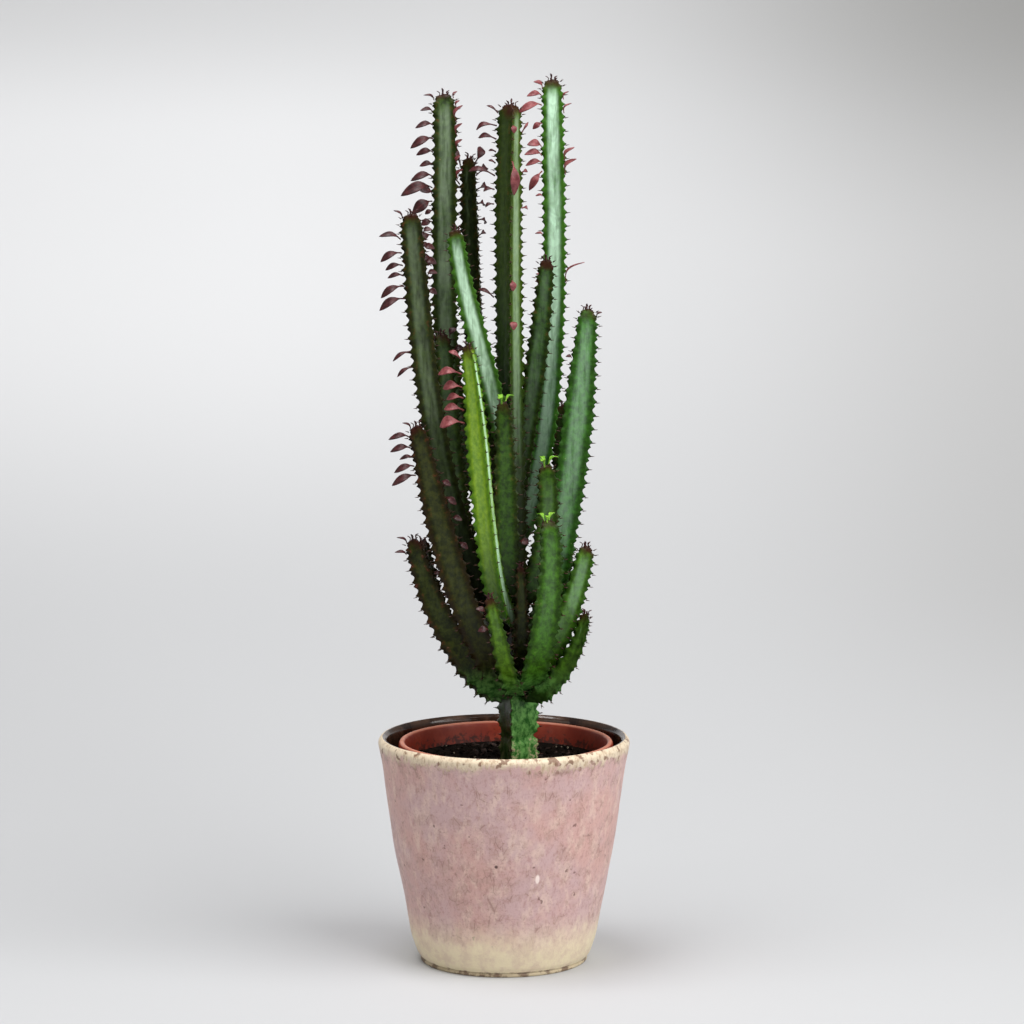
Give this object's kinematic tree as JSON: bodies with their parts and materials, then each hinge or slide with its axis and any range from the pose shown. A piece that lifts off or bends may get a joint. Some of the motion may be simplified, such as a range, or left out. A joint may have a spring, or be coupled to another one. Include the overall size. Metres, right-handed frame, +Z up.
{
  "type": "potted euphorbia",
  "caption": "Tall candelabra-shaped euphorbia with ridged, spiny stems and small burgundy leaves, in a plastic nursery pot inside a round glazed stoneware cachepot.",
  "frame": {"origin": "centre of the base, on the surface that the cachepot stands on", "axes": "+Z up along the pot's axis, +X to the right and -Y towards the side it is seen from"},
  "size_m": [0.247, 0.247, 0.8613],
  "materials": {
    "glazed_stoneware": "satin",
    "terracotta_plastic": "satin",
    "potting_soil": "matte",
    "stem_flesh": "satin",
    "leaf": "satin"
  },
  "bodies": {
    "root": {"back_left_stem": "stem_flesh", "front_left_left_leaf_1": "leaf", "front_left_left_leaf_2": "leaf", "front_left_left_leaf_3": "leaf", "front_left_left_leaf_4": "leaf", "front_left_stem": "stem_flesh", "front_middle_stem": "stem_flesh", "front_right_stem": "stem_flesh", "glazed_pot": "glazed_stoneware", "inner_left_stem": "stem_flesh", "inner_right_stem": "stem_flesh", "leaning_stem": "stem_flesh", "low_front_stem": "stem_flesh", "low_middle_stem": "stem_flesh", "lower_left_stem": "stem_flesh", "lower_right_stem": "stem_flesh", "lowest_right_stem": "stem_flesh", "main_front_leaf_1": "leaf", "main_left_leaf_1": "leaf", "main_left_leaf_2": "leaf", "main_left_leaf_3": "leaf", "main_stem": "stem_flesh", "middle_left_left_leaf_1": "leaf", "middle_left_left_leaf_2": "leaf", "middle_left_left_leaf_3": "leaf", "middle_left_left_leaf_4": "leaf", "middle_left_stem": "stem_flesh", "narrow_right_stem": "stem_flesh", "nursery_pot": "terracotta_plastic", "potting_soil": "potting_soil", "rear_left_stem": "stem_flesh", "rear_low_left_stem": "stem_flesh", "rear_low_right_stem": "stem_flesh", "rear_middle_stem": "stem_flesh", "rear_right_stem": "stem_flesh", "tall_left_left_leaf_1": "leaf", "tall_left_left_leaf_2": "leaf", "tall_left_left_leaf_3": "leaf", "tall_left_left_leaf_4": "leaf", "tall_left_left_leaf_5": "leaf", "tall_left_left_leaf_6": "leaf", "tall_left_left_leaf_7": "leaf", "tall_left_left_leaf_8": "leaf", "tall_left_right_leaf_1": "leaf", "tall_left_right_leaf_2": "leaf", "tall_left_stem": "stem_flesh", "tall_right_left_leaf_1": "leaf", "tall_right_left_leaf_2": "leaf", "tall_right_left_leaf_3": "leaf", "tall_right_left_leaf_4": "leaf", "tall_right_right_leaf_1": "leaf", "tall_right_right_leaf_2": "leaf", "tall_right_stem": "stem_flesh", "upper_left_left_leaf_1": "leaf", "upper_left_left_leaf_2": "leaf", "upper_left_left_leaf_3": "leaf", "upper_left_left_leaf_4": "leaf", "upper_left_left_leaf_5": "leaf", "upper_left_stem": "stem_flesh", "upper_right_stem": "stem_flesh"}
  },
  "joints": []
}
